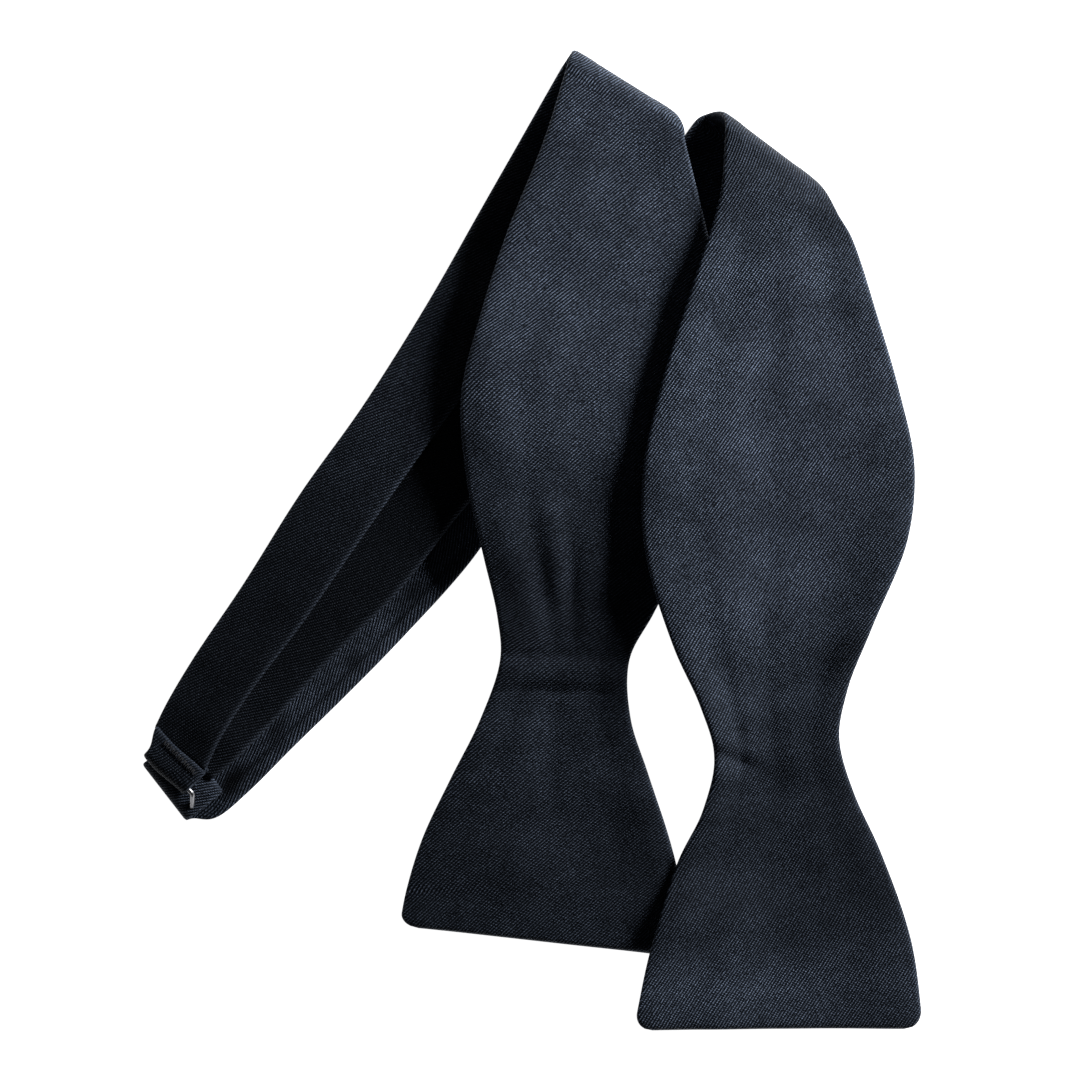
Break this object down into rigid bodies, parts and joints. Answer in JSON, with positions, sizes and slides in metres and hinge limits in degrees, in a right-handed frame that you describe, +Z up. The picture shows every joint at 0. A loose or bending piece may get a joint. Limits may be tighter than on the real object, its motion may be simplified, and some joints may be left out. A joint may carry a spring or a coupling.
{
  "type": "bow tie",
  "caption": "Untied self-tie bow tie in black twill, laid flat: two folded blades and two neckbands hooked together at the neck.",
  "frame": {"origin": "on the table, under the middle of the whole laid-out tie", "axes": "+Y from the shaped ends towards the folds, +X towards the blade that lies on top, +Z up from the table"},
  "size_m": [0.2024, 0.2532, 0.0099],
  "materials": {
    "black_twill": "fine twill, soft satin sheen",
    "interlining_canvas": "plain matt canvas",
    "black_thread": "polyester sewing thread",
    "nickelled_steel": "polished, slightly tarnished"
  },
  "bodies": {
    "right_band": {"right_band_front": "black_twill", "right_band_interlining": "interlining_canvas", "right_band_back": "black_twill", "right_fold_front": "black_twill", "right_fold_interlining": "interlining_canvas", "right_fold_back": "black_twill", "right_end_loop": "black_twill", "return_run": "black_twill"},
    "right_blade": {"right_blade_front": "black_twill", "right_blade_interlining": "interlining_canvas", "right_blade_back": "black_twill"},
    "left_band": {"left_band_front": "black_twill", "left_band_interlining": "interlining_canvas", "left_band_back": "black_twill", "left_fold_front": "black_twill", "left_fold_interlining": "interlining_canvas", "left_fold_back": "black_twill", "left_end_loop": "black_twill", "left_end_bartack": "black_thread"},
    "left_blade": {"left_blade_front": "black_twill", "left_blade_interlining": "interlining_canvas", "left_blade_back": "black_twill"},
    "hook": {"neck_hook": "nickelled_steel"},
    "adjuster": {"slide_adjuster": "nickelled_steel", "return_end_loop": "black_twill", "return_bartack": "black_thread"}
  },
  "joints": [
    {"name": "right_blade_fold", "type": "hinge", "parent": "right_band", "child": "right_blade", "pos_m": [0.04679, 0.10752, 0.0043], "axis": [-0.7986, 0.6018, 0], "range_deg": [0, 135], "deforming": ["right_fold_front", "right_fold_interlining", "right_fold_back"]},
    {"name": "left_blade_fold", "type": "hinge", "parent": "left_band", "child": "left_blade", "pos_m": [0.00879, 0.12392, 0.0037], "axis": [-0.8141, 0.5807, 0], "range_deg": [0, 121.5], "deforming": ["left_fold_front", "left_fold_interlining", "left_fold_back"]},
    {"name": "neck_swivel", "type": "hinge", "parent": "right_band", "child": "left_band", "pos_m": [-0.09771, -0.05878, 0.0021], "axis": [0, 0, 1], "range_deg": [0, 10]},
    {"name": "hook_play", "type": "hinge", "parent": "left_band", "child": "hook", "pos_m": [-0.09651, -0.05578, 0.0072], "axis": [0.7071, -0.7071, 0], "range_deg": [-3, 3]},
    {"name": "slide_travel", "type": "slide", "parent": "right_band", "child": "adjuster", "axis": [0.694, 0.7199, 0], "range_m": [-0.005, 0.012], "deforming": ["return_run"]}
  ],
  "couplings": [
    {"joint": "left_blade_fold", "follows": "right_blade_fold", "ratio": 0.9}
  ]
}
